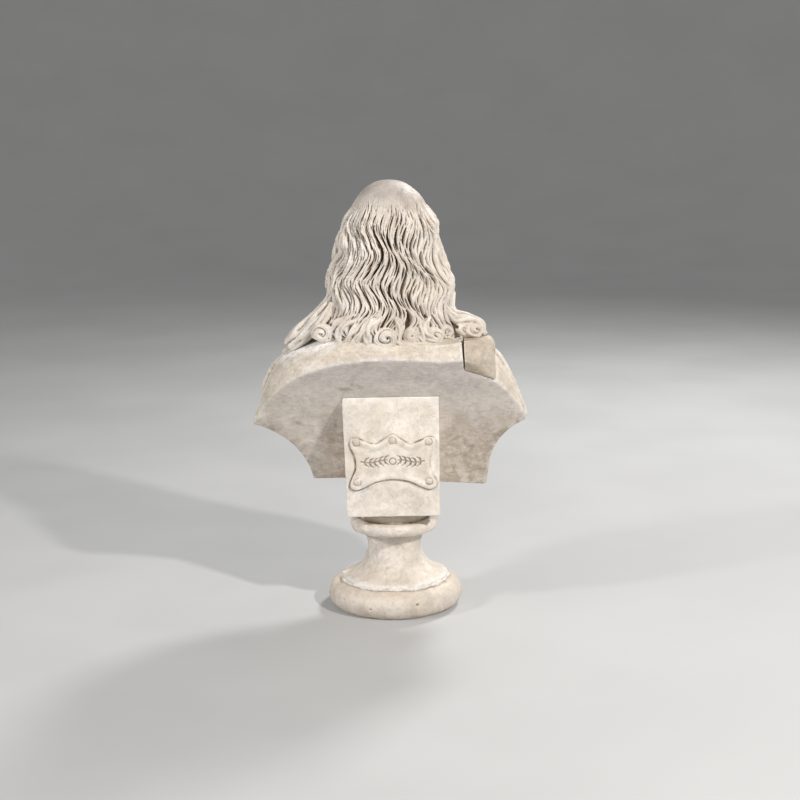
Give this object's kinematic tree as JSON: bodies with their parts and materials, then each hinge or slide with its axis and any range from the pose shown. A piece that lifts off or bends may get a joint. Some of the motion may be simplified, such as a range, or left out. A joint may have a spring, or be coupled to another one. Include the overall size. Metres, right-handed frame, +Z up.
{
  "type": "marble bust",
  "caption": "Life-size draped marble portrait bust with long wavy hair, a scooped back with a square pillar and carved plate, on a turned socle.",
  "frame": {"origin": "centre of the flat underside of the socle's foot", "axes": "+Z up; the bust faces -Y, its hollowed back and pillar face +Y; the figure's right shoulder is at -X"},
  "size_m": [0.5026, 0.2766, 0.8],
  "materials": {
    "head_marble": "worn satin marble, warm cream with brown dirt in the carved channels",
    "torso_marble": "honed marble, cream with blue-grey smudges; the scooped back is greyer",
    "lappet_marble": "honed marble, slightly warmer than the torso",
    "pillar_marble": "honed marble, pale ivory with small brown and grey pits",
    "plate_marble": "honed marble, pale ivory",
    "pin_marble": "marble, worn round heads",
    "socle_marble": "turned and honed marble, ivory with faint grey veins",
    "plaster": "matt white joint plaster",
    "mortar": "matt brown-stained mortar",
    "iron": "dark rusted iron"
  },
  "bodies": {
    "root": {"socle_foot": "socle_marble", "foot_joint_plaster": "plaster", "socle_column": "socle_marble", "pillar_bedding": "mortar", "back_pillar": "pillar_marble", "pillar_dowels": "iron", "cartouche": "plate_marble", "cartouche_pins": "pin_marble", "torso": "torso_marble", "shoulder_lappet": "lappet_marble", "lappet_pin": "iron", "neck_bedding": "plaster", "neck_dowel": "iron", "head": "head_marble", "tie_rod": "iron", "rod_nut": "iron", "rod_washer": "iron", "rod_grout": "mortar", "recess_plug": "plaster"}
  },
  "joints": []
}
